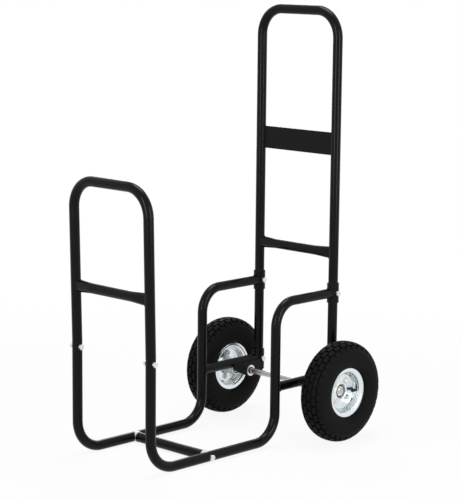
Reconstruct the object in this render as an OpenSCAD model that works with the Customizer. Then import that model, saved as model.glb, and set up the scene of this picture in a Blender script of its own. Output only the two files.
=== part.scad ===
// Fireside log cart: a two-wheeled frame of bent steel tube that stands beside a stove or a
// fireplace, holds a stack of logs between its two tall hoops and is tipped back to be rolled.
// Millimetres, +Z up. +Y is the rear, where the wheels and the tall handle are. +X is the right.
// The origin is on the floor, under the middle of the whole cart.

/* [Overall] */
// Height of the handle hoop's centre line above the frame's underside
handle_h = 1077.9; // [900:0.1:1200]
// Height of the front hoop's centre line above the frame's underside
front_h = 685.4; // [500:0.1:800]
// Distance between the centre lines of the left and right tubes
track_w = 260.5; // [220:0.5:320]
// Distance from the front feet back to the inner uprights
bay_l = 428.5; // [340:0.5:480]
// Distance from the inner uprights back to the handle's legs
rear_l = 214; // [180:1:240]
// Forward lean of the front hoop above its joints
front_lean = 1.35; // [0:0.05:3]

/* [Tube] */
// Outer diameter of all the frame tube
tube_d = 25; // [20:0.1:25.4]
// Wall thickness of the frame tube
tube_wall = 1.5; // [1:0.1:2]
// Centre-line radius of the two hoops' top corners
hoop_r = 68; // [50:1:90]
// Centre-line radius of the bend at the front feet
foot_r = 75; // [50:1:90]
// Centre-line radius of the bend at the bottom of the inner uprights
heel_r = 66; // [50:1:90]
// Centre-line radius of the bend at the top of the inner uprights
shoulder_r = 62; // [45:1:80]

/* [Cross pieces] */
// Height of the handle's crossbar
handle_bar_z = 463.4; // [420:0.1:520]
// Height of the front hoop's crossbar
front_bar_z = 426.4; // [400:0.1:520]
// Height of the middle of the handle's flat plate
plate_z = 742.9; // [650:0.1:850]
// Height of the flat plate
plate_h = 58; // [40:1:80]
// Thickness of the flat plate
plate_t = 2; // [1.5:0.1:4]
// Distance of the bottom crossbar in front of the inner uprights
bottom_bar_y = 236.5; // [140:0.5:300]
// Height of a crossbar's flared ends, where they are pressed to fit round the legs
flare_h = 30; // [27:0.5:34]

/* [Sleeves and bolts] */
// Height of the side frames' top rails
rail_z = 359.9; // [340:0.1:400]
// Height of the lower braces
brace_z = 145.9; // [135:0.1:165]
// Outer diameter of the sleeves that hold the handle's legs
sleeve_d = 31; // [26.5:0.1:32]
// Length of those sleeves
sleeve_l = 52; // [40:1:60]
// Height of the joints where the front hoop plugs into the side frames
seam_z = 291.9; // [260:0.1:340]
// Depth of the joints' bolts below them
joint_bolt_drop = 17.5; // [14:0.5:26]
// Bolt shank diameter
bolt_d = 6; // [5:0.5:8]
// Bolt head size across the flats
bolt_af = 13; // [10:0.5:14]
// Gap between a bolt's shank and its hole
bolt_gap = 0.25; // [0.2:0.05:0.4]

/* [Axle and wheels] */
// Distance of the axle behind the inner uprights
axle_y = 164; // [150:0.5:175]
// Height of the axle above the frame's underside
axle_z = 121.3; // [112:0.1:124]
// Diameter of the axle
axle_d = 15; // [12:0.1:16]
// Tyre outer diameter
tyre_d = 259; // [250:1:270]
// Tyre width
tyre_w = 70; // [64:1:78]
// Distance from the cart's middle to each wheel's middle
wheel_x = 205; // [200:0.5:230]
// Rim flange diameter
rim_d = 127; // [120:1:132]
// Rim width over both flanges
rim_w = 50; // [46:1:54]
// Thickness of the rim's pressed sheet
rim_t = 2; // [1.5:0.1:2.5]
// Diameter of the rim bolts' circle
rim_pcd = 66; // [64:1:74]

/* [Hidden] */
$fn = 48;

half_w = track_w / 2;
tube_r = tube_d / 2;
bore_d = tube_d - 2 * tube_wall;
floor_z = tube_r;
tube_in = half_w - tube_r;
tyre_r = tyre_d / 2;
foot_y = -bay_l;
// The wheels reach below the bottom rails, so the cart stands on them and on its front feet,
// with the whole frame tipped forward by this angle.
wheel_drop = tyre_r - axle_z;
foot_contact_y = foot_y + foot_r;
stand_tilt = asin((wheel_drop) / (axle_y - foot_contact_y));
front_reach = bay_l + front_h * sin(stand_tilt) + (front_h - seam_z) * sin(front_lean) + tube_r;
rear_reach = axle_y + tyre_r;
mid_y = (rear_reach - front_reach) / 2 - 1.02;
hole_d = bolt_d + 2 * bolt_gap;
slip = 0.15;
// The axle's plates stand on the inner sides of the tubes, a little sunk over them for the weld.
bracket_t = 6;
bracket_x = tube_in - 5.5;
head_h = 5.3;
nut_h = 6.5;
steel = [0.80, 0.81, 0.83];
black = [0.12, 0.12, 0.125];
rubber = [0.14, 0.14, 0.14];

// Stands the frame, drawn square, on its wheels and its front feet.
module stand() {
  translate([0, -mid_y, 0])
    translate([0, foot_contact_y, 0])
      rotate([stand_tilt, 0, 0])
        translate([0, -foot_contact_y, 0])
          children();
}

// The cut end of a hollow tube.
module tube_section(od, id) {
  difference() {
    circle(d = od);
    circle(d = id);
  }
}

function unit(v) = v / norm(v);
function dir(p, i) = unit(p[i + 1] - p[i]);
function turn(a, b) = atan2(a[0] * b[1] - a[1] * b[0], a[0] * b[0] + a[1] * b[1]);
// Length of straight that the bend at point i takes off each side of it.
function cutback(p, r, i) =
  (i == 0 || i == len(p) - 1) ? 0 : r[i] * tan(abs(turn(dir(p, i - 1), dir(p, i))) / 2);

// One tube bent in a plane: p holds the corners of its centre line, r the bend radius at each.
module bent_tube(p, r, od, id) {
  for (i = [0 : len(p) - 2]) {
    d = dir(p, i);
    a = p[i] + d * cutback(p, r, i);
    b = p[i + 1] - d * cutback(p, r, i + 1);
    translate([a[0], a[1], 0])
      rotate([0, 0, atan2(d[1], d[0])])
        rotate([0, 90, 0])
          linear_extrude(norm(b - a))
            tube_section(od, id);
  }
  for (i = [1 : len(p) - 2]) {
    d = dir(p, i - 1);
    t = turn(d, dir(p, i));
    s = t > 0 ? 1 : -1;
    n = [-d[1], d[0]] * s;
    a = p[i] - d * cutback(p, r, i);
    c = a + n * r[i];
    first = atan2(-n[1], -n[0]);
    translate([c[0], c[1], 0])
      rotate([0, 0, t > 0 ? first : first + t])
        rotate_extrude(angle = abs(t))
          translate([r[i], 0])
            tube_section(od, id);
  }
}

// Turns a shape drawn in X and Y into the upright plane across the cart.
module across(y) {
  translate([0, y, 0])
    rotate([90, 0, 0])
      children();
}

// Turns a shape drawn in X and Y into the upright plane along the cart.
module along(x) {
  translate([x, 0, 0])
    rotate([90, 0, 90])
      children();
}

module rod_x(x0, x1, d) {
  translate([x0, 0, 0])
    rotate([0, 90, 0])
      cylinder(d = d, h = x1 - x0);
}

module lean_front() {
  translate([0, foot_y, seam_z])
    rotate([front_lean, 0, 0])
      translate([0, 0, -seam_z])
        children();
}

// Hexagon bolt along X, with its head on the right.
module bolt_x(grip, tail) {
  rod_x(-grip / 2 - tail, grip / 2, bolt_d);
  translate([grip / 2, 0, 0])
    rotate([0, 90, 0])
      intersection() {
        rotate([0, 0, 30])
          cylinder(d = bolt_af / cos(30), h = head_h, $fn = 6);
        cylinder(d1 = bolt_af * 1.5, d2 = bolt_af * 1.02, h = head_h + 0.8);
      }
}

module nut_x(grip) {
  translate([-grip / 2 - nut_h, 0, 0])
    rotate([0, 90, 0])
      difference() {
        rotate([0, 0, 30])
          cylinder(d = bolt_af / cos(30), h = nut_h, $fn = 6);
        translate([0, 0, -1])
          cylinder(d = bolt_d + 0.02, h = nut_h + 2);
      }
}

// The front hoop's ends are swaged down to enter the side frames' uprights, and bent a little
// just above, so that the hoop leans forward.
module front_hoop() {
  start = seam_z + 0.35;
  color(black)
    stand()
      difference() {
        union() {
          lean_front()
            across(0)
              bent_tube([[-half_w, start], [-half_w, front_h], [half_w, front_h], [half_w, start]],
                        [0, hoop_r, hoop_r, 0], tube_d, bore_d);
          for (s = [-1, 1])
            translate([s * half_w, foot_y, seam_z]) {
              translate([0, 0, -40])
                cylinder(d = bore_d - 2 * slip, h = 41);
              translate([0, 0, 1])
                cylinder(d = bore_d + 0.8, h = 5);
            }
        }
        for (s = [-1, 1])
          translate([s * half_w, foot_y, seam_z - 50])
            cylinder(d = bore_d - 4, h = 70);
        translate([0, foot_y, seam_z - joint_bolt_drop])
          rod_x(-half_w - 30, half_w + 30, hole_d);
      }
}

// A crossbar between two legs: round in the middle, its ends pressed taller and coped to the legs.
module flared_bar(half) {
  straight = half - 60;
  pressed = 17;
  rod_x(-straight, straight, tube_d);
  for (s = [-1, 1])
    hull() {
      translate([s * straight - 0.5, 0, 0])
        rod_x(0, 1, tube_d, $fn = 32);
      for (k = [-1, 1])
        translate([s > 0 ? half - 22 : -half, 0, k * (flare_h - pressed) / 2])
          rod_x(0, 22, pressed, $fn = 32);
    }
}

module coped_bar(half) {
  difference() {
    flared_bar(half);
    rod_x(-half + 44, half - 44, bore_d);
    for (s = [-1, 1])
      translate([s * half, 0, -40])
        cylinder(d = tube_d, h = 80);
  }
}

module front_crossbar() {
  color(black)
    stand()
      lean_front()
        translate([0, 0, front_bar_z])
          coped_bar(half_w);
}

module handle_hoop() {
  foot = brace_z - sleeve_l / 2 + 2;
  color(black)
    stand()
      difference() {
        across(rear_l)
          bent_tube([[-half_w, foot], [-half_w, handle_h], [half_w, handle_h], [half_w, foot]],
                    [0, hoop_r, hoop_r, 0], tube_d, bore_d);
        for (z = [rail_z, brace_z])
          translate([0, rear_l, z])
            rod_x(-half_w - 30, half_w + 30, hole_d);
      }
}

module handle_crossbar() {
  color(black)
    stand()
      translate([0, rear_l, handle_bar_z])
        coped_bar(half_w);
}

module back_plate() {
  color(black)
    stand()
      difference() {
        translate([-half_w, rear_l - plate_t / 2, plate_z - plate_h / 2])
          cube([track_w, plate_t, plate_h]);
        for (s = [-1, 1])
          translate([s * half_w, rear_l, plate_z - plate_h])
            cylinder(d = tube_d, h = 2 * plate_h);
      }
}

// One side: front upright, foot bend, bottom rail, heel bend, inner upright, shoulder, top rail.
module side_frame(s) {
  color(black)
    stand()
      difference() {
        along(s * half_w)
          bent_tube([[foot_y, seam_z], [foot_y, floor_z], [0, floor_z], [0, rail_z],
                     [rear_l - 5, rail_z]],
                    [0, foot_r, heel_r, shoulder_r, 0], tube_d, bore_d);
        translate([s * half_w, rear_l, rail_z - 40])
          cylinder(d = sleeve_d, h = 80);
        translate([s * half_w, foot_y, seam_z - joint_bolt_drop])
          rod_x(-30, 30, hole_d);
        translate([s * half_w, -bottom_bar_y, floor_z])
          rod_x(-30, 30, hole_d);
      }
}

module side_frame_left() {
  side_frame(-1);
}

module side_frame_right() {
  side_frame(1);
}

module sleeve(s, z) {
  color(black)
    stand()
      translate([s * half_w, rear_l, z])
        difference() {
          union() {
            translate([0, 0, -sleeve_l / 2 + 1])
              cylinder(d = sleeve_d, h = sleeve_l - 2);
            for (m = [0, 1])
              mirror([0, 0, m])
                translate([0, 0, sleeve_l / 2 - 1])
                  cylinder(d1 = sleeve_d, d2 = sleeve_d - 2, h = 1);
          }
          translate([0, 0, -sleeve_l])
            cylinder(d = tube_d + 2 * slip, h = 2 * sleeve_l);
          rod_x(-30, 30, hole_d);
        }
}

module upper_sleeve_left() {
  sleeve(-1, rail_z);
}

module upper_sleeve_right() {
  sleeve(1, rail_z);
}

module lower_sleeve_left() {
  sleeve(-1, brace_z);
}

module lower_sleeve_right() {
  sleeve(1, brace_z);
}

// Straight tube from the inner upright back to the lower sleeve, coped at both ends.
module brace(s) {
  color(black)
    stand()
      difference() {
        translate([s * half_w, 3, brace_z])
          rotate([-90, 0, 0])
            linear_extrude(rear_l - 8)
              tube_section(tube_d, bore_d);
        translate([s * half_w, 0, brace_z - 40])
          cylinder(d = tube_d, h = 80);
        translate([s * half_w, rear_l, brace_z - 40])
          cylinder(d = sleeve_d, h = 80);
      }
}

module brace_left() {
  brace(-1);
}

module brace_right() {
  brace(1);
}

// Plate welded to the inner sides of the brace and the lower sleeve, with the axle's hole.
module axle_bracket(s) {
  y = rear_l - 4;
  z = brace_z - sleeve_l / 2;
  color(black)
    stand()
      difference() {
        translate([s > 0 ? bracket_x : -bracket_x - bracket_t, 0, 0])
          rotate([90, 0, 90])
            linear_extrude(bracket_t)
              difference() {
                union() {
                  polygon([[axle_y - 60, brace_z], [axle_y - 60, brace_z - 14],
                           [axle_y - 42, axle_z], [axle_y - 15, axle_z - 12],
                           [axle_y + 8, axle_z - 17], [y - 6, axle_z - 9],
                           [y + 9, z], [y, z], [y, brace_z - 10], [y - 6, brace_z]]);
                  translate([axle_y, axle_z])
                    circle(r = 18);
                }
                translate([axle_y, axle_z])
                  circle(d = axle_d + 0.3);
              }
        translate([s * half_w, 0, brace_z])
          rotate([-90, 0, 0])
            cylinder(d = tube_d, h = rear_l + 20);
        translate([s * half_w, rear_l, z])
          cylinder(d = sleeve_d, h = 120);
      }
}

module axle_bracket_left() {
  axle_bracket(-1);
}

module axle_bracket_right() {
  axle_bracket(1);
}

spacer_l = 5;

// Bottom tube across the log bay, drawn up between the two bottom rails by a bolt at each end.
module bottom_crossbar() {
  half = half_w - tube_r - spacer_l + 2.5;
  color(black)
    stand()
      translate([0, -bottom_bar_y, floor_z])
        difference() {
          rod_x(-half, half, tube_d);
          rod_x(-half + 6, half - 6, bore_d);
          rod_x(-half - 1, half + 1, bolt_d + 0.02);
        }
}

// Saddle washers that fit the crossbar's square ends to the round rails.
module saddle_spacers() {
  color(steel)
    stand()
      for (s = [-1, 1])
        translate([s * half_w, -bottom_bar_y, floor_z])
          difference() {
            translate([s > 0 ? -tube_r - spacer_l + 2.5 : 0, 0, 0])
              rod_x(0, tube_r + spacer_l - 2.5, tube_d + 2);
            translate([0, -30, 0])
              rotate([-90, 0, 0])
                cylinder(d = tube_d, h = 60);
            rod_x(-30, 30, hole_d);
            translate([s > 0 ? 0 : -40, -30, -30])
              cube([40, 60, 60]);
            translate([-20, -30, -60])
              cube([40, 60, 60 - floor_z]);
          }
}

module axle() {
  end = wheel_x + hub_out + 4.5;
  color(steel)
    stand()
      translate([0, axle_y, axle_z]) {
        rod_x(-end + 1, end - 1, axle_d);
        for (m = [0, 1])
          mirror([m, 0, 0])
            translate([end - 1, 0, 0])
              rotate([0, 90, 0])
                cylinder(d1 = axle_d, d2 = axle_d - 2, h = 1);
      }
}

// A pair of round washers or collars on the axle, at the same place on both sides.
module axle_rings(x0, x1, od) {
  color(steel)
    stand()
      translate([0, axle_y, axle_z])
        for (s = [-1, 1])
          difference() {
            rod_x(s > 0 ? x0 : -x1, s > 0 ? x1 : -x0, od);
            rod_x(-wheel_x - 60, wheel_x + 60, axle_d + 0.1);
          }
}

module axle_inner_washers() {
  axle_rings(bracket_x - 2.5, bracket_x, 29);
}

// Push-on rings that grip the axle just inside the brackets.
module axle_inner_clips() {
  axle_rings(bracket_x - 4.5, bracket_x - 2.5, 18.4);
}

module axle_spacers() {
  axle_rings(bracket_x + bracket_t, wheel_x - hub_in - 0.3, 20);
}

module axle_end_washers() {
  axle_rings(wheel_x + hub_out + 0.3, wheel_x + hub_out + 1.9, 24);
}

module axle_end_clips() {
  axle_rings(wheel_x + hub_out + 1.9, wheel_x + hub_out + 3.4, 18.4);
}

module joint_bolts_at() {
  for (s = [-1, 1])
    translate([s * half_w, 0, 0])
      children();
}

module front_joint_bolts() {
  color(steel)
    stand()
      translate([0, foot_y, seam_z - joint_bolt_drop])
        joint_bolts_at()
          bolt_x(tube_d, nut_h + 2);
}

module front_joint_nuts() {
  color(steel)
    stand()
      translate([0, foot_y, seam_z - joint_bolt_drop])
        joint_bolts_at()
          nut_x(tube_d);
}

module sleeve_bolts(z) {
  color(steel)
    stand()
      translate([0, rear_l, z])
        joint_bolts_at()
          bolt_x(sleeve_d, nut_h + 2);
}

module sleeve_nuts(z) {
  color(steel)
    stand()
      translate([0, rear_l, z])
        joint_bolts_at()
          nut_x(sleeve_d);
}

module upper_sleeve_bolts() {
  sleeve_bolts(rail_z);
}

module upper_sleeve_nuts() {
  sleeve_nuts(rail_z);
}

module lower_sleeve_bolts() {
  sleeve_bolts(brace_z);
}

module lower_sleeve_nuts() {
  sleeve_nuts(brace_z);
}

// The two bolts that draw the rails against the bottom crossbar, heads on the outside.
module crossbar_bolts() {
  color(steel)
    stand()
      for (s = [0, 1])
        mirror([s, 0, 0])
          translate([half_w + tube_r - 20, -bottom_bar_y, floor_z])
            bolt_x(40, 0);
}

// Places a wheel part, drawn with its axis on Z and its outer side up, on one end of the axle,
// and turns it to where that wheel has stopped.
module on_wheel(s) {
  stand()
    translate([s * wheel_x, axle_y, axle_z])
      mirror([s > 0 ? 0 : 1, 0, 0])
        rotate([0, 90, 0])
          rotate(s > 0 ? 7 : 42)
            children();
}

// The hub reaches far in from the wheel's middle and ends a little short of it outside.
hub_in = 44;
hub_out = -2;
bearing_w = 11;
bearing_r = 17.5;
sleeve_r = bearing_r + 1.5;

section_r = 37.5;
section_mid = tyre_r - section_r;
bead_r = 51.6;
flange = rim_w / 2;
// Squarish oval section of the tyre: a point at angle q, for half width a and half height b.
function oval(q, a, b) =
  [section_mid + b * sign(sin(q)) * pow(abs(sin(q)), 0.78),
   a * sign(cos(q)) * pow(abs(cos(q)), 0.78)];

module tyre_section() {
  foot = [[bead_r, -8.4], [52, -7.8], [53.3, -5.6], [55.8, -3.4], [58.5, -2.5], [62.5, -2.3],
          [64, -1.8], [66, 0.4]];
  polygon(concat(
    [for (v = foot) [v[0], flange + v[1]]],
    [for (q = [-30 : 10 : 210]) oval(q, tyre_w / 2, section_r)],
    [for (n = [7 : -1 : 0]) [foot[n][0], -flange - foot[n][1]]],
    [[60, 8.4 - flange]],
    [for (q = [220 : -10 : -40]) oval(q, tyre_w / 2 - 5, section_r - 8)],
    [[60, flange - 8.4]]));
}

groove_r = tyre_r - 5;

// Tyre with the three grooves that part its rows of tread blocks.
module tyre(s) {
  color(rubber)
    on_wheel(s)
      rotate_extrude($fn = 96)
        difference() {
          tyre_section();
          for (z = [-13, 0, 13])
            translate([groove_r, z - 1.5])
              square([10, 3]);
        }
}

module tyre_left() {
  tyre(-1);
}

module tyre_right() {
  tyre(1);
}

module inner_tube(s) {
  color([0.08, 0.08, 0.08])
    on_wheel(s)
      rotate_extrude()
        translate([section_mid, 0])
          tube_section(54, 50);
}

module inner_tube_left() {
  inner_tube(-1);
}

module inner_tube_right() {
  inner_tube(1);
}

// Section of one pressed half of the split rim: the wall up from its bolted ring, and the flange.
rim_edge = [[45.5, 0], [47, 2], [48.2, 5.4], [50.9, flange - 10.4], [51.4, flange - 7.8],
            [53, flange - 5.3], [55.6, flange - 3.1], [58.4, flange - 2.2],
            [rim_d / 2 - 1, flange - 2], [rim_d / 2 - 1, flange], [58, flange - 0.2],
            [54.6, flange - 1.4], [51.5, flange - 4], [49.6, flange - 7], [48.9, flange - 10],
            [46.3, 6], [45.4, 3.2], [43.5, rim_t]];

module rim_half(middle) {
  difference() {
    rotate_extrude($fn = 96) {
      polygon(concat(middle, rim_edge));
      translate([rim_d / 2 - 1, flange - 1])
        circle(r = 1);
    }
    for (q = [45 : 90 : 315])
      rotate(q)
        translate([rim_pcd / 2, 0, -1])
          cylinder(d = 8.4, h = rim_t + 2);
  }
}

stem_q = 79;
stem_z = 12;

// The valve stem leaves the inner tube, passes through the rim's well and points at the hub.
module stem_axis() {
  rotate(stem_q)
    translate([49, 0, stem_z])
      rotate([0, -84, -5])
        children();
}

// The outer half's middle is flat, with a low lip round a short cup for the outer bearing.
module rim_outer(s) {
  color(steel)
    on_wheel(s)
      difference() {
        rim_half([[25, rim_t], [23, 3.6], [20.5, 4], [18.6, 2.8], [bearing_r, 0.6],
                  [bearing_r, hub_out - bearing_w - 0.5], [sleeve_r, hub_out - bearing_w - 0.5],
                  [sleeve_r, -1], [20, 0]]);
        stem_axis()
          translate([0, 0, -16])
            cylinder(d = 8.6, h = 28);
      }
}

module rim_outer_left() {
  rim_outer(-1);
}

module rim_outer_right() {
  rim_outer(1);
}

// The inner half's middle is drawn out into a cone and a long sleeve for the inner bearing.
module rim_inner(s) {
  color(steel)
    on_wheel(s)
      mirror([0, 0, 1])
        rim_half([[25, rim_t], [22.5, 5], [21, 9], [20.9, 15.5], [sleeve_r, 18.5],
                  [sleeve_r, hub_in - 0.5], [bearing_r, hub_in - 0.5], [bearing_r, 17.6],
                  [19.4, 14.6], [19.5, 9], [21, 4.4], [23.6, 0]]);
}

module rim_inner_left() {
  rim_inner(-1);
}

module rim_inner_right() {
  rim_inner(1);
}

// Tube on the axle that keeps the two bearings apart.
module hub_tube(s) {
  color(steel)
    on_wheel(s)
      rotate_extrude()
        translate([axle_d / 2 + 0.05, bearing_w - hub_in])
          square([3.6, hub_in + hub_out - 2 * bearing_w]);
}

module hub_tube_left() {
  hub_tube(-1);
}

module hub_tube_right() {
  hub_tube(1);
}

// Two sealed ball bearings: steel races with a grease shield let into each face.
module bearings(s) {
  color(steel)
    on_wheel(s)
      for (z = [-hub_in, hub_out - bearing_w])
        translate([0, 0, z])
          rotate_extrude()
            difference() {
              translate([axle_d / 2 + 0.05, 0])
                square([bearing_r - axle_d / 2 - 0.05, bearing_w]);
              for (k = [-1, bearing_w - 0.8])
                translate([12.9, k])
                  square([3.4, 1.8]);
            }
}

module bearings_left() {
  bearings(-1);
}

module bearings_right() {
  bearings(1);
}

module valve_stem(s) {
  color([0.08, 0.08, 0.08])
    on_wheel(s)
      stem_axis()
        translate([0, 0, -18.9])
          cylinder(d1 = 8, d2 = 7, h = 30.4);
}

module valve_stem_left() {
  valve_stem(-1);
}

module valve_stem_right() {
  valve_stem(1);
}

module valve_cap(s) {
  color([0.06, 0.06, 0.06])
    on_wheel(s)
      stem_axis()
        translate([0, 0, 11.5]) {
          cylinder(d = 9.4, h = 7);
          translate([0, 0, 7])
            cylinder(d1 = 9.4, d2 = 6, h = 2);
        }
}

module valve_cap_left() {
  valve_cap(-1);
}

module valve_cap_right() {
  valve_cap(1);
}

module around_rim() {
  for (q = [45 : 90 : 315])
    rotate(q)
      translate([rim_pcd / 2, 0, 0])
        children();
}

module rim_bolts(s) {
  color(steel)
    on_wheel(s)
      around_rim() {
        translate([0, 0, -rim_t - nut_h - 2])
          cylinder(d = 8, h = 2 * rim_t + nut_h + 2);
        translate([0, 0, rim_t])
          cylinder(d = 13 / cos(30), h = head_h, $fn = 6);
      }
}

module rim_bolts_left() {
  rim_bolts(-1);
}

module rim_bolts_right() {
  rim_bolts(1);
}

module rim_nuts(s) {
  color(steel)
    on_wheel(s)
      around_rim()
        translate([0, 0, -rim_t - nut_h])
          difference() {
            cylinder(d = 13 / cos(30), h = nut_h, $fn = 6);
            translate([0, 0, -1])
              cylinder(d = 8.02, h = nut_h + 2);
          }
}

module rim_nuts_left() {
  rim_nuts(-1);
}

module rim_nuts_right() {
  rim_nuts(1);
}

front_hoop();
front_crossbar();
handle_hoop();
handle_crossbar();
back_plate();
side_frame_left();
side_frame_right();
upper_sleeve_left();
upper_sleeve_right();
lower_sleeve_left();
lower_sleeve_right();
brace_left();
brace_right();
axle_bracket_left();
axle_bracket_right();
bottom_crossbar();
saddle_spacers();
axle();
axle_inner_washers();
axle_inner_clips();
axle_spacers();
axle_end_washers();
axle_end_clips();
front_joint_bolts();
front_joint_nuts();
upper_sleeve_bolts();
upper_sleeve_nuts();
lower_sleeve_bolts();
lower_sleeve_nuts();
crossbar_bolts();
tyre_left();
inner_tube_left();
rim_outer_left();
rim_inner_left();
hub_tube_left();
bearings_left();
valve_stem_left();
valve_cap_left();
rim_bolts_left();
rim_nuts_left();
tyre_right();
inner_tube_right();
rim_outer_right();
rim_inner_right();
hub_tube_right();
bearings_right();
valve_stem_right();
valve_cap_right();
rim_bolts_right();
rim_nuts_right();
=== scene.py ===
from math import ceil, cos, pi, radians, sin, sqrt, tan

import bmesh
import bpy
from mathutils import Matrix, Vector


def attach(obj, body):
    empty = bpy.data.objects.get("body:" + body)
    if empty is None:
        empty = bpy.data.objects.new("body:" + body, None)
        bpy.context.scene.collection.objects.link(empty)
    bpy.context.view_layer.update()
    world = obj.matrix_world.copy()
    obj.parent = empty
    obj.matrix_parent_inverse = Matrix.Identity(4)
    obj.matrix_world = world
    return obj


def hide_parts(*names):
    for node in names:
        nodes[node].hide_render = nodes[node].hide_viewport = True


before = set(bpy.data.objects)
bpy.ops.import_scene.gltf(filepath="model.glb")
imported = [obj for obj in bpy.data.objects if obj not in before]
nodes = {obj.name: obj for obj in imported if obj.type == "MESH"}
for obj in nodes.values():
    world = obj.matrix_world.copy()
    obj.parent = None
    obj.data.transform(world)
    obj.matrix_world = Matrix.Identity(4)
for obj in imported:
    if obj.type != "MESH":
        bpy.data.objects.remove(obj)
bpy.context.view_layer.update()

# The bent tubes: handle hoop, front hoop, two side frames and their braces. Mild steel tube,
# bent cold and welded, then covered in gloss black powder coat, which leaves a fine orange peel.


class Socket:
    """A node's output in a material. Arithmetic on it adds Math nodes."""

    def __init__(self, tree, output=None):
        self.tree = tree
        self.output = output

    def add(self, kind, settings={}, out=0, **values):
        """Adds a node. A value goes by its socket's name, or by i and the socket's number."""
        node = self.tree.nodes.new("ShaderNode" + kind)
        for name, value in settings.items():
            if name == "stops":
                for stop, (place, shade) in zip(node.color_ramp.elements, value):
                    stop.position = place
                    stop.color = (shade, shade, shade, 1)
            else:
                setattr(node, name, value)
        for name, value in values.items():
            key = int(name[1:]) if name[1:].isdigit() else name.replace("_", " ")
            if isinstance(value, Socket):
                self.tree.links.new(value.output, node.inputs[key])
            else:
                node.inputs[key].default_value = value
        return Socket(self.tree, node.outputs[out])

    def math(self, operation, first, second):
        return self.add("Math", {"operation": operation}, i0=first, i1=second)

    def __add__(self, other):
        return self.math("ADD", self, other)

    __radd__ = __add__

    def __mul__(self, other):
        return self.math("MULTIPLY", self, other)

    __rmul__ = __mul__

    def ramp(self, first, last):
        """From one shade to another, each given with its place."""
        return self.add("ValToRGB", {"stops": (first, last)}, Fac=self)

    def blend(self, low, high):
        """From one colour to another. The colour sockets of a Mix node go by their numbers."""
        return self.add("Mix", {"data_type": "RGBA"}, out=2, i0=self, i6=low, i7=high)


def finish_of(name, **constants):
    """A new material, its first socket and its main shader, with that shader's fixed numbers."""
    material = bpy.data.materials.new(name)
    material.use_nodes = True
    shader = material.node_tree.nodes["Principled BSDF"]
    for key, value in constants.items():
        shader.inputs[key.replace("_", " ")].default_value = value
    return material, Socket(material.node_tree), shader


def feed(shader, **values):
    for key, value in values.items():
        shader.id_data.links.new(value.output, shader.inputs[key.replace("_", " ")])


def noise(s, place, scale, detail):
    return s.add("TexNoise", Vector=place, Scale=scale, Detail=detail)


def tint(r, g, b):
    return (r, g, b, 1)


def powder_coat(name, low, high, rough, level):
    """A baked coat: faint clouds, a fine grain and the low waves of its peel. Rough is the mean."""
    material, s, shader = finish_of(name, Specular_IOR_Level=level)
    place = s.add("TexCoord", out="Object")
    cloud = noise(s, place, scale=9, detail=3)
    grain = noise(s, place, scale=900, detail=2)
    peel = noise(s, place, scale=140, detail=0)
    feed(
        shader,
        Base_Color=(cloud * 0.7 + grain * 0.3).blend(low, high),
        Roughness=cloud * 0.05 + grain * 0.02 + (rough - 0.035),
        Normal=s.add("Bump", Strength=0.02, Distance=0.0001, Height=peel),
    )
    return material


tube_coat = powder_coat(
    "tube_powder_coat", tint(0.0022, 0.0022, 0.0025), tint(0.0042, 0.0042, 0.0047),
    rough=0.19, level=0.12,
)


def dress(material, *names):
    """Gives nodes their finish."""
    for name in names:
        for slot in nodes[name].material_slots:
            slot.material = material


def as_mesh(name, bm):
    mesh = bpy.data.meshes.new(name)
    bm.to_mesh(mesh)
    bm.free()
    return mesh


def gather(bm, mesh):
    """Adds a mesh to bm, and drops it."""
    bm.from_mesh(mesh)
    bpy.data.meshes.remove(mesh)


def hang(name, bm, material, body, sharp):
    """Makes a bmesh, in its place in metres, a piece that rides on a body."""
    mesh = as_mesh(name, bm)
    mesh.shade_smooth()
    mesh.set_sharp_from_angle(angle=radians(sharp))
    mesh.materials.append(material)
    obj = bpy.data.objects.new(name, mesh)
    bpy.context.collection.objects.link(obj)
    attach(obj, body)
    return obj


def rounded(material, body, slot, *names):
    """Stands a merged copy in for each node, so that its rounds shade as rounds."""
    for name in names:
        bm = bmesh.new()
        bm.from_mesh(nodes[name].data)
        bmesh.ops.remove_doubles(bm, verts=bm.verts, dist=2e-6)
        obj = hang(name + "_finish", bm, material, body, sharp=28)
        obj.modifiers.new("weigh", "WEIGHTED_NORMAL").keep_sharp = True
        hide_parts(name)


def piece(name, bm, place, material, body, sharp):
    """Puts a bmesh drawn in millimetres where place says, and hangs it on a body."""
    bmesh.ops.transform(bm, matrix=place, verts=bm.verts)
    bmesh.ops.remove_doubles(bm, verts=bm.verts, dist=1e-6)
    bmesh.ops.recalc_face_normals(bm, faces=bm.faces)
    return hang(name, bm, material, body, sharp)


# The tubes' sizes are in millimetres, in the square drawing that stand puts on the floor: it
# turns about the foot bends until the tyres touch too. Lean is for the hoop in front.
TUBE_R, WALL, SLEEVE_R = 12.5, 1.5, 15.5
HALF_W, REAR, FOOT_Y = 130.25, 214.0, -428.5
LOW_Z, BRACE_Z, SEAM_Z, RAIL_Z = TUBE_R, 145.9, 291.9, 359.9
HANDLE_LOW, HANDLE_TOP = 121.9, 1077.9
FRONT_LOW, FRONT_TOP = 292.25, 685.4
HOOP_BEND, FOOT_BEND, HEEL_BEND, SHOULDER_BEND = 68, 75, 66, 62
TILT, FRONT_LEAN = radians(0.907913), radians(1.35)
PIVOT_Y, MIDDLE_Y = FOOT_Y + FOOT_BEND, 84.835606
stand = (
    Matrix.Scale(0.001, 4)
    @ Matrix.Translation((0, PIVOT_Y + MIDDLE_Y, 0))
    @ Matrix.Rotation(TILT, 4, "X")
    @ Matrix.Translation((0, -PIVOT_Y, 0))
)
lean = (
    stand
    @ Matrix.Translation((0, FOOT_Y, SEAM_Z))
    @ Matrix.Rotation(FRONT_LEAN, 4, "X")
    @ Matrix.Translation((0, 0, -SEAM_Z))
)

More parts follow.
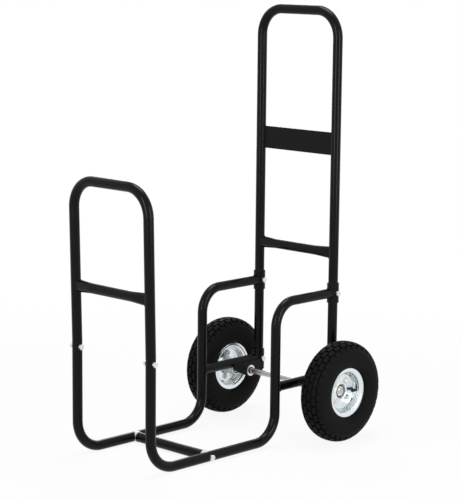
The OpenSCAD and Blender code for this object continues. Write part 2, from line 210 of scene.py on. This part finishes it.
BEND_STEPS = 18
INSET = 0.005  # keeps the round of a tube within the model's
RAIL_END, COPE_REACH, COPE_BITE = 200, 40, 0.4


def middle_line(corners, radii):
    """The middle of a bent tube: straight runs between corners, each turned on its radius."""
    line = [corners[0]]
    for before, corner, after, radius in zip(corners, corners[1:], corners[2:], radii):
        back, ahead = (before - corner).normalized(), (after - corner).normalized()
        half = back.angle(ahead) / 2
        centre = corner + (back + ahead).normalized() * radius / sin(half)
        start = corner + back * radius / tan(half) - centre
        axis = back.cross(ahead)
        for step in range(BEND_STEPS + 1):
            turn = Matrix.Rotation(-(pi - 2 * half) * step / BEND_STEPS, 3, axis)
            line.append(centre + turn @ start)
    return line + [corners[-1]]


def swept(line, radius, rounds, closed=False, capped=False, swells=None):
    """The mesh of a circle swept along a line, and made wider or narrower by its swells."""
    curve = bpy.data.curves.new("run", "CURVE")
    curve.dimensions = "3D"
    curve.bevel_depth = radius
    curve.bevel_resolution = rounds
    curve.use_fill_caps = capped
    spline = curve.splines.new("POLY")
    spline.use_cyclic_u = closed
    spline.points.add(len(line) - 1)
    for point, at, swell in zip(spline.points, line, swells or [1] * len(line)):
        point.co = (*at, 1)
        point.radius = swell
    made = bpy.data.objects.new("run", curve)
    mesh = bpy.data.meshes.new_from_object(made)
    bpy.data.objects.remove(made)
    bpy.data.curves.remove(curve)
    return mesh


def bent(name, place, corners, radii, cope=None):
    """A bent tube with its wall. Cope is where the sleeve stands that its second end meets."""
    bm = bmesh.new()
    gather(bm, swept(middle_line([Vector(c) for c in corners], radii), TUBE_R - INSET, 16))
    if cope:
        for vert in bm.verts:
            if vert.co.y > cope - COPE_REACH:
                across = abs(vert.co.x) - HALF_W
                vert.co.y = cope - sqrt(SLEEVE_R**2 - across**2) + COPE_BITE
    bmesh.ops.remove_doubles(bm, verts=bm.verts, dist=0.001)
    bmesh.ops.recalc_face_normals(bm, faces=bm.faces)
    bmesh.ops.solidify(bm, geom=bm.faces[:], thickness=WALL)
    obj = piece(name + "_run", bm, place, tube_coat, "frame", sharp=40)
    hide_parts(name)


for name, place, y, low, top in (
    ("handle_hoop", stand, REAR, HANDLE_LOW, HANDLE_TOP),
    ("front_hoop", lean, 0, FRONT_LOW, FRONT_TOP),
):
    corners = [(-HALF_W, y, low), (-HALF_W, y, top), (HALF_W, y, top), (HALF_W, y, low)]
    bent(name, place, corners, [HOOP_BEND, HOOP_BEND])
for side, name in ((-1, "left"), (1, "right")):
    x = side * HALF_W
    corners = [
        (x, FOOT_Y, SEAM_Z), (x, FOOT_Y, LOW_Z), (x, 0, LOW_Z), (x, 0, RAIL_Z),
        (x, RAIL_END, RAIL_Z),
    ]
    bent("side_frame_" + name, stand, corners, [FOOT_BEND, HEEL_BEND, SHOULDER_BEND], cope=REAR)
rounded(tube_coat, "frame", "powder_coat", "brace_left", "brace_right")

# The weld beads: short rippled runs where crossbars, braces, sleeves, plate and axle brackets
# meet the tubes, laid before the coat and buried under it.
HANDLE_BAR_Z, FRONT_BAR_Z = 463.4, 426.4
PRESSED_R, PRESSED_HALF = 8.6, 6.5
PLATE_LOW, PLATE_HIGH, PLATE_FACE = 717, 769, 1.9
BRACKET_X, BRACKET_END_X = 117.2, 115.6
BEAD_STEP, BEAD_WIDTH, PLATE_BEAD, BRACKET_BEAD = 0.6, 2.5, 2.1, 2.3


def bead(bm, place, path, closed=True, width=BEAD_WIDTH):
    """Lays one bead along a path in millimetres, with a ripple and a slow change of width."""
    points = [Vector(p) for p in path] + ([Vector(path[0])] if closed else [])
    run = [0.0]
    for a, b in zip(points, points[1:]):
        run.append(run[-1] + (b - a).length)
    count = max(8, ceil(run[-1] / BEAD_STEP))
    line, swells = [], []
    for n in range(count if closed else count + 1):
        at = run[-1] * n / count
        k = max(j for j in range(len(run) - 1) if run[j] <= at + 1e-9)
        mix = (at - run[k]) / max(run[k + 1] - run[k], 1e-9)
        line.append(points[k].lerp(points[k + 1], mix))
        swells.append(0.82 + 0.18 * abs(sin(at * 1.5)) + 0.05 * sin(at * 0.31))
    mesh = swept(line, width, 1, closed, True, swells)
    mesh.transform(place)
    gather(bm, mesh)


def ring_of(count):
    """The angles of so many points round a circle."""
    return [2 * pi * n / count for n in range(count)]


beads = bmesh.new()
for side in (-1, 1):
    for place, y, z in ((stand, REAR, HANDLE_BAR_Z), (lean, 0.0, FRONT_BAR_Z)):
        path = []
        for a in ring_of(48):
            across = PRESSED_R * cos(a)
            up = PRESSED_R * sin(a) + (PRESSED_HALF if sin(a) > 0 else -PRESSED_HALF)
            path.append((side * (HALF_W - sqrt(TUBE_R**2 - across**2)), y + across, z + up))
        bead(beads, place, path)
    x = side * (HALF_W - TUBE_R - 0.1)
    for y in (REAR - PLATE_FACE, REAR + PLATE_FACE):
        bead(beads, stand, [(x, y, PLATE_LOW), (x, y, PLATE_HIGH)], False, PLATE_BEAD)
    x = side * HALF_W
    for z in (RAIL_Z, BRACE_Z):
        path = []
        for a in ring_of(60):
            across = TUBE_R * cos(a)
            path.append((x + across, REAR - sqrt(SLEEVE_R**2 - across**2), z + TUBE_R * sin(a)))
        bead(beads, stand, path)
    path = [
        (x + TUBE_R * cos(a), TUBE_R * abs(sin(a)) + 0.6, BRACE_Z + TUBE_R * sin(a))
        for a in ring_of(60)
    ]
    bead(beads, stand, path)
    x = side * BRACKET_X
    for start, end in ((107, 134), (158, 196)):
        path = [(x, y, BRACE_Z - 1.5) for y in (start, end)]
        bead(beads, stand, path, False, BRACKET_BEAD)
    path = [(side * BRACKET_END_X, REAR - 4.4, z) for z in (124, 140)]
    bead(beads, stand, path, False, BRACKET_BEAD)
piece("weld_beads", beads, Matrix.Identity(4), tube_coat, "frame", sharp=60)

# The crossbars: the same tube. The two between the legs have their ends pressed tall and
# coped to fit before welding; the bottom one is cut square and bolted.
rounded(tube_coat, "frame", "powder_coat", "front_crossbar", "handle_crossbar", "bottom_crossbar")

# The flat plate across the handle: sheet steel, cut square and welded between the legs. It
# wears the same coat, a little flatter in gloss.
plate_coat = powder_coat(
    "plate_powder_coat", tint(0.0050, 0.0050, 0.0054), tint(0.0075, 0.0075, 0.0080),
    rough=0.34, level=0.09,
)
dress(plate_coat, "back_plate")

# The sleeves that take the handle's legs, and the brackets that hold the axle: cut tube and
# flat plate, welded on before the coat covers them.
rounded(
    tube_coat, "frame", "powder_coat",
    "upper_sleeve_left", "upper_sleeve_right", "lower_sleeve_left", "lower_sleeve_right",
)
dress(plate_coat, "axle_bracket_left", "axle_bracket_right")

# Bolts, nuts, washers, spacers and end clips: turned and pressed steel with bright zinc plate,
# left as plated. They join the hoops, the crossbar and the rims, and keep the wheels on.


def plated(name, low, high, rough):
    """Bare or plated metal: patches and a fine grain in colour and gloss. Rough is the mean."""
    material, s, shader = finish_of(name, Metallic=1.0)
    place = s.add("TexCoord", out="Object")
    cloud = noise(s, place, scale=60, detail=3)
    grain = noise(s, place, scale=1500, detail=2)
    feed(
        shader,
        Base_Color=(cloud * 0.6 + grain * 0.4).blend(low, high),
        Roughness=cloud * 0.12 + grain * 0.12 + (rough - 0.12),
        Normal=s.add("Bump", Strength=0.15, Distance=0.0002, Height=grain + cloud * 0.5),
    )
    return material


bolt_zinc = plated("bolt_zinc", tint(0.60, 0.61, 0.61), tint(0.86, 0.85, 0.80), rough=0.30)
dress(
    bolt_zinc,
    "front_joint_bolts", "front_joint_nuts", "upper_sleeve_bolts", "upper_sleeve_nuts",
    "lower_sleeve_bolts", "lower_sleeve_nuts", "crossbar_bolts", "axle_inner_washers",
    "axle_spacers", "axle_end_washers", "axle_end_clips",
    "rim_bolts_left", "rim_bolts_right", "rim_nuts_left", "rim_nuts_right",
)

# The saddle washers between the bottom crossbar and the rails: pale grey cast zinc, held by
# the crossbar's two bolts.
saddle_grey = plated("saddle_grey", tint(0.50, 0.51, 0.52), tint(0.70, 0.70, 0.71), rough=0.42)
dress(saddle_grey, "saddle_spacers")

# The axle: one drawn steel bar, unplated and lightly oiled. Two spring steel rings, pushed on to it
# inside the brackets, keep it from sliding. Their near-black colour is painted shade.
axle_steel = plated("axle_steel", tint(0.40, 0.39, 0.385), tint(0.62, 0.605, 0.60), rough=0.26)
rounded(axle_steel, "frame", "plain_steel", "axle")
dress(axle_steel, "hub_tube_left", "hub_tube_right", "bearings_left", "bearings_right")
# Painted shade: the rings are coloured near black to draw the dark shadow line round the axle
# beside its washer.
black_spring = plated(
    "black_spring", tint(0.022, 0.022, 0.024), tint(0.05, 0.05, 0.053), rough=0.40
)
dress(black_spring, "axle_inner_clips")

# The tyres: ten inch four-ply air tyres. Moulded black rubber with a smooth sidewall, a ridge
# by the rim, and staggered rows of rectangular blocks that run down on to the shoulders.
WHEEL_X, AXLE_Y, AXLE_Z = 205.0, 164.0, 121.3
LEFT_TURN, RIGHT_TURN = 42, 7
SECTION_MID, SECTION_R, TYRE_HALF, SQUARENESS = 92.0, 37.5, 35.0, 0.78
TYRE_R = SECTION_MID + SECTION_R
TREAD_EDGE, SHOULDER_EDGE, TREAD_DEPTH = 27.0, 42.0, 5.0
BLOCKS, BLOCK_LENGTH, BLOCK_WIDTH, SHOULDER_WIDTH = 34, 18.4, 10.8, 14.6
BLOCK_HEIGHT, BLOCK_BEVEL, SHOULDER_DROP = TREAD_DEPTH + 0.6, 0.7, 1.2
CROWN_STEP, CROWN_STEPS = radians(0.2), 601
PROFILE_STEP, PROFILE_STEPS = 1.25, 68
RUBBER_THICK, CROWN_THICK = 5, 8


def on_wheel(side):
    """Where a wheel's parts go: drawn with the axis on Z and the outer face up."""
    return (
        stand
        @ Matrix.Translation((side * WHEEL_X, AXLE_Y, AXLE_Z))
        @ Matrix.Scale(side, 4, (1, 0, 0))
        @ Matrix.Rotation(pi / 2, 4, "Y")
        @ Matrix.Rotation(radians(RIGHT_TURN if side > 0 else LEFT_TURN), 4, "Z")
    )


def oval(angle, half_width=TYRE_HALF, half_height=SECTION_R):
    """A point of the tyre's squared oval section, as distance from the axis and height."""
    up, out = sin(angle), cos(angle)
    return Vector(
        (
            SECTION_MID + half_height * (1 if up > 0 else -1) * abs(up) ** SQUARENESS,
            half_width * (1 if out > 0 else -1) * abs(out) ** SQUARENESS,
        )
    )


def crown_line():
    """Arc length, place and outward direction of steps from the crown down one side."""
    rows = []
    length = 0.0
    last = oval(pi / 2)
    for n in range(CROWN_STEPS):
        angle = pi / 2 - n * CROWN_STEP
        here = oval(angle)
        length += (here - last).length
        ahead = oval(angle - 0.001) - oval(angle + 0.001)
        rows.append((length, here, Vector((ahead.y, -ahead.x)).normalized()))
        last = here
    return rows


crown = crown_line()


def crown_at(v):
    """Place and outward direction at arc length v from the middle of the tread."""
    near = min(crown, key=lambda row: abs(row[0] - abs(v)))
    turn = -1 if v < 0 else 1
    return Vector((near[1].x, near[1].y * turn)), Vector((near[2].x, near[2].y * turn))


def spin_round(bm, steps):
    """Spins the wire profile already in bm, drawn in X and Z, once round Z."""
    bmesh.ops.spin(
        bm, geom=bm.verts[:] + bm.edges[:], axis=(0, 0, 1), cent=(0, 0, 0),
        angle=2 * pi, steps=steps, use_merge=True,
    )


def wire(bm, profile):
    """A closed wire profile of points (distance from the axis, height)."""
    made = [bm.verts.new((r, 0, z)) for r, z in profile]
    for a, b in zip(made, made[1:] + made[:1]):
        bm.edges.new((a, b))


def ridge(away, height, width):
    """How far a soft ridge stands proud at some distance away from its middle."""
    return height * 2.718 ** (-((away / width) ** 2))


def tyre_body():
    """The tyre without its blocks: sunk under the tread, with two ridges and a hollow inside."""
    bm = bmesh.new()
    outer = []
    for n in range(-PROFILE_STEPS, PROFILE_STEPS + 1):
        v = n * PROFILE_STEP
        at, out = crown_at(v)
        slope = (SHOULDER_EDGE + 1 - abs(v)) / (SHOULDER_EDGE - TREAD_EDGE)
        depth = TREAD_DEPTH * min(1, max(0, slope))
        proud = ridge(at.x - 70, 0.8, 1.3) * (at.x < 80) + ridge(abs(v) - 49, 0.35, 0.9)
        outer.append(tuple(at + out * (proud - depth)))
    foot = [
        (51.7, 16.6), (52.1, 17.2), (53.4, 19.4), (55.9, 21.6), (58.5, 22.5), (62.5, 22.7),
        (64.1, 23.4),
    ]
    low = [(r, -z) for r, z in foot]
    high = foot[::-1]
    inner = [
        tuple(oval(radians(q), TYRE_HALF - RUBBER_THICK, SECTION_R - CROWN_THICK))
        for q in range(-40, 221, 10)
    ]
    wire(bm, low + outer + high + [(60, 16.6)] + inner + [(60, -16.6)])
    spin_round(bm, 4 * BLOCKS)
    return bm


def tread_row(bm, middle, width, start, drop):
    """One row of blocks, the first made flat and wrapped over the crown, then copied round."""
    block = bmesh.new()
    bmesh.ops.create_cube(block, size=1)
    bmesh.ops.scale(block, vec=(BLOCK_LENGTH, width, BLOCK_HEIGHT), verts=block.verts)
    bmesh.ops.translate(block, vec=(0, 0, -BLOCK_HEIGHT / 2), verts=block.verts)
    for axis, cuts in ((0, 2), (1, 2 if width < 12 else 4)):
        edges = [e for e in block.edges if abs((e.verts[0].co - e.verts[1].co)[axis]) > 0.5]
        bmesh.ops.subdivide_edges(block, edges=edges, cuts=cuts, use_grid_fill=True)
    upper = [e for e in block.edges if min(v.co.z for v in e.verts) > -BLOCK_HEIGHT + 0.1]
    corners = [e for e in upper if len(e.link_faces) == 2 and e.calc_face_angle() > 1]
    bmesh.ops.bevel(
        block, geom=corners, offset=BLOCK_BEVEL, segments=1, affect="EDGES", profile=0.5,
        material=-1,
    )
    for vert in block.verts:
        along, across, up = vert.co
        v = middle + across
        at, out = crown_at(v)
        taper = drop * max(0, abs(v) - TREAD_EDGE) / (SHOULDER_EDGE - TREAD_EDGE)
        r, z = at + out * (up - taper)
        turn = along / TYRE_R + start
        vert.co = (r * cos(turn), r * sin(turn), z)
    bmesh.ops.spin(
        block, geom=block.verts[:] + block.edges[:] + block.faces[:], axis=(0, 0, 1),
        cent=(0, 0, 0), angle=2 * pi, steps=BLOCKS, use_duplicate=True,
    )
    gather(bm, as_mesh("row", block))


rubber, s, shader = finish_of("tyre_rubber", Specular_IOR_Level=0.06)
place = s.add("TexCoord", out="Object")
cloud = noise(s, place, scale=14, detail=3)
grain = noise(s, place, scale=700, detail=3)
deep, dusty = tint(0.0040, 0.0040, 0.0043), tint(0.0080, 0.0079, 0.0082)
feed(
    shader,
    Base_Color=(cloud * 0.6 + grain * 0.4).blend(deep, dusty),
    Roughness=cloud * 0.14 + grain * 0.12 + 0.47,
    Normal=s.add("Bump", Strength=0.2, Distance=0.0004, Height=grain + cloud * 0.6),
)
pitch = 2 * pi / BLOCKS
for side, name in ((-1, "left"), (1, "right")):
    bm = tyre_body()
    for middle, shift in ((-19.8, 0.5), (-6.6, 0), (6.6, 0.5), (19.8, 0)):
        tread_row(bm, middle, BLOCK_WIDTH, shift * pitch, drop=0)
    for middle, shift in ((-34.8, 0), (34.8, 0.5)):
        tread_row(bm, middle, SHOULDER_WIDTH, shift * pitch, drop=SHOULDER_DROP)
    wheel = "wheel_" + name
    tyre = piece("tyre_tread_" + name, bm, on_wheel(side), rubber, wheel, sharp=40)
    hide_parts("tyre_" + name)
    dress(rubber, "inner_tube_" + name)

# The split rims: two pressings of sheet steel with bright zinc plate, bolted back to back, the
# inner one drawn out into a cone and a sleeve for its bearing.
rim_zinc, s, shader = finish_of("rim_zinc", Metallic=1.0)
place = s.add("TexCoord", out="Object")
cloud = noise(s, place, scale=26, detail=3)
grain = noise(s, place, scale=1100, detail=2)
wave = noise(s, place, scale=16, detail=0)
feed(
    shader,
    Base_Color=(cloud * 0.75 + grain * 0.25).blend(tint(0.66, 0.73, 0.76), tint(0.88, 0.91, 0.92)),
    Roughness=cloud * 0.08 + grain * 0.03 + 0.16,
    Normal=s.add("Bump", Strength=0.03, Distance=0.0002, Height=wave),
)
RIM_STEPS, RIM_ROUND = 120, 0.45


def pressed(profile):
    """One half of a rim: its closed section spun round, the corners between bends rounded."""
    bm = bmesh.new()
    wire(bm, profile)
    spin_round(bm, RIM_STEPS)
    corners = [e for e in bm.edges if len(e.link_faces) == 2 and e.calc_face_angle() > 0.2]
    bmesh.ops.bevel(
        bm, geom=corners, offset=RIM_ROUND, segments=3, affect="EDGES", profile=0.5, material=-1
    )
    return bm


edge = [
    (45.5, 0), (47, 2), (48.2, 5.4), (50.9, 14.6), (51.4, 17.2), (53, 19.7), (55.6, 21.9),
    (58.4, 22.9), (62.5, 23), (63.4, 23.4), (63.4, 24.6), (62.5, 25), (58, 24.8), (54.6, 23.6),
    (51.7, 21.2), (50.5, 19.2), (49.9, 16.6), (49.2, 15.6), (48.6, 14), (46.3, 6), (45.4, 3.2),
    (43.5, 2),
]
outer_half = [
    (25, 2), (23, 3.6), (20.5, 4), (18.6, 2.8), (17.5, 0.6), (17.5, -13.5), (19, -13.5),
    (19, -1), (20, 0),
]
inner_half = [
    (25, 2), (22.5, 5), (21, 9), (20.9, 15.5), (19, 18.5), (19, 43.5), (17.5, 43.5), (17.5, 17.6),
    (19.4, 14.6), (19.5, 9), (21, 4.4), (23.6, 0),
]
turned_over = Matrix.Scale(-1, 4, (0, 0, 1))
for side, name in ((-1, "left"), (1, "right")):
    place, wheel = on_wheel(side), "wheel_" + name
    bm = pressed(outer_half + edge)
    rim = piece("rim_face_outer_" + name, bm, place, rim_zinc, wheel, sharp=40)
    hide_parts("rim_outer_" + name)
    bm, place = pressed(inner_half + edge), place @ turned_over
    rim = piece("rim_face_inner_" + name, bm, place, rim_zinc, wheel, sharp=40)
    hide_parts("rim_inner_" + name)

# Bearing seals: moulded black rubber shields with a low lip, pressed into both faces of each
# bearing. They turn with the wheel.
seal_rubber, s, shader = finish_of("seal_rubber", Specular_IOR_Level=0.3)
place = s.add("TexCoord", out="Object")
grain = noise(s, place, scale=900, detail=2)
feed(
    shader,
    Base_Color=grain.blend(tint(0.005, 0.005, 0.005), tint(0.011, 0.011, 0.011)),
    Roughness=grain * 0.15 + 0.42,
    Normal=s.add("Bump", Strength=0.2, Distance=0.0002, Height=grain),
)
shield = [(13, -0.7), (13, -0.2), (14, -0.35), (15.4, -0.1), (16.2, -0.2), (16.2, -0.7)]
bearing_faces = ((-2, 1), (-13, -1), (-33, 1), (-44, -1))
for side, name in ((-1, "left"), (1, "right")):
    bm = bmesh.new()
    for face, up in bearing_faces:
        ring = bmesh.new()
        wire(ring, [(r, face + up * z) for r, z in shield])
        spin_round(ring, 64)
        gather(bm, as_mesh("ring", ring))
    wheel = "wheel_" + name
    piece("bearing_seals_" + name, bm, on_wheel(side), seal_rubber, wheel, sharp=30)

# The valves: a rubber-covered stem that comes through the rim's well and points to the hub,
# with a moulded dust cap screwed on.
dress(seal_rubber, "valve_stem_left", "valve_stem_right", "valve_cap_left", "valve_cap_right")

# Studio: a plain pale floor that keeps the cart's shadow and runs out into a white backdrop,
# a white surround, four softboxes, and a long lens at the photograph's angle.
bm = bmesh.new()
bmesh.ops.create_grid(bm, x_segments=1, y_segments=1, size=40)
floor_mesh = as_mesh("floor", bm)
floor = bpy.data.objects.new("floor", floor_mesh)
bpy.context.collection.objects.link(floor)
white = tint(1, 1, 1)
pale, s, shader = finish_of(
    "pale_floor", Base_Color=tint(0.9, 0.9, 0.9), Roughness=0.9, Specular_IOR_Level=0.0
)
seen = s.add("LightPath", out="Is Camera Ray")
glossy = s.add("LightPath", out="Is Glossy Ray")
glow = s.add("Emission", Color=white, Strength=1.0)
place = s.add("TexCoord", out="Object")
away = s.add("VectorMath", {"operation": "LENGTH"}, out="Value", i0=place)
fade = (away * 0.25).ramp((0.2, 0), (0.5, 1))
shown = s.math("MAXIMUM", seen, glossy) * (fade * 0.1 + 0.9)
mixed = s.add("MixShader", i0=shown, i1=Socket(s.tree, shader.outputs[0]), i2=glow)
s.tree.links.new(mixed.output, s.tree.nodes["Material Output"].inputs["Surface"])
floor_mesh.materials.append(pale)

world = bpy.data.worlds.new("studio")
bpy.context.scene.world = world
world.use_nodes = True
s = Socket(world.node_tree)
back = s.tree.nodes["Background"]
back.inputs["Color"].default_value = tint(0.60, 0.60, 0.61)
back.inputs["Strength"].default_value = 0.5
bright = s.add("Background", Color=white, Strength=1.0)
seen = s.add("LightPath", out="Is Camera Ray")
glossy = s.add("LightPath", out="Is Glossy Ray")
through = s.add("LightPath", out="Is Transmission Ray")
shown = s.math("MAXIMUM", s.math("MAXIMUM", seen, glossy), through)
mixed = s.add("MixShader", i0=shown, i1=Socket(s.tree, back.outputs[0]), i2=bright)
s.tree.links.new(mixed.output, s.tree.nodes["World Output"].inputs["Surface"])


def lamp(name, place, aim, size, power):
    light = bpy.data.lights.new(name, "AREA")
    light.shape = "RECTANGLE"
    light.size, light.size_y = size
    light.energy = power
    obj = bpy.data.objects.new(name, light)
    obj.location = place
    obj.rotation_euler = (Vector(aim) - Vector(place)).to_track_quat("-Z", "Y").to_euler()
    bpy.context.collection.objects.link(obj)


lamp("left_softbox", (0.42, -2.5, 1.15), aim=(0, 0, 1.1), size=(0.5, 1.7), power=27)
lamp("right_softbox", (2.6, 0.1, 1.15), aim=(0, 0, 1.1), size=(0.5, 1.7), power=27)
lamp("back_softbox", (-1.9, 1.9, 1.3), aim=(0, 0, 1.0), size=(0.8, 1.7), power=14)
lamp("top_softbox", (-0.2, 0.3, 3.0), aim=(0, 0, 0.4), size=(1.5, 1.5), power=40)

lens = bpy.data.cameras.new("camera")
lens.sensor_fit = "VERTICAL"
lens.sensor_height = 36
lens.lens = 131.475
lens.shift_x = -0.0143
lens.shift_y = 0.0334
lens.clip_end = 60
camera = bpy.data.objects.new("camera", lens)
camera.location = (3.1613, -3.2123, 1.1994)
camera.rotation_euler = (radians(80.569), radians(-1.2138), radians(44.1175))
bpy.context.collection.objects.link(camera)
bpy.context.scene.camera = camera

bpy.context.scene.view_settings.view_transform = "Standard"
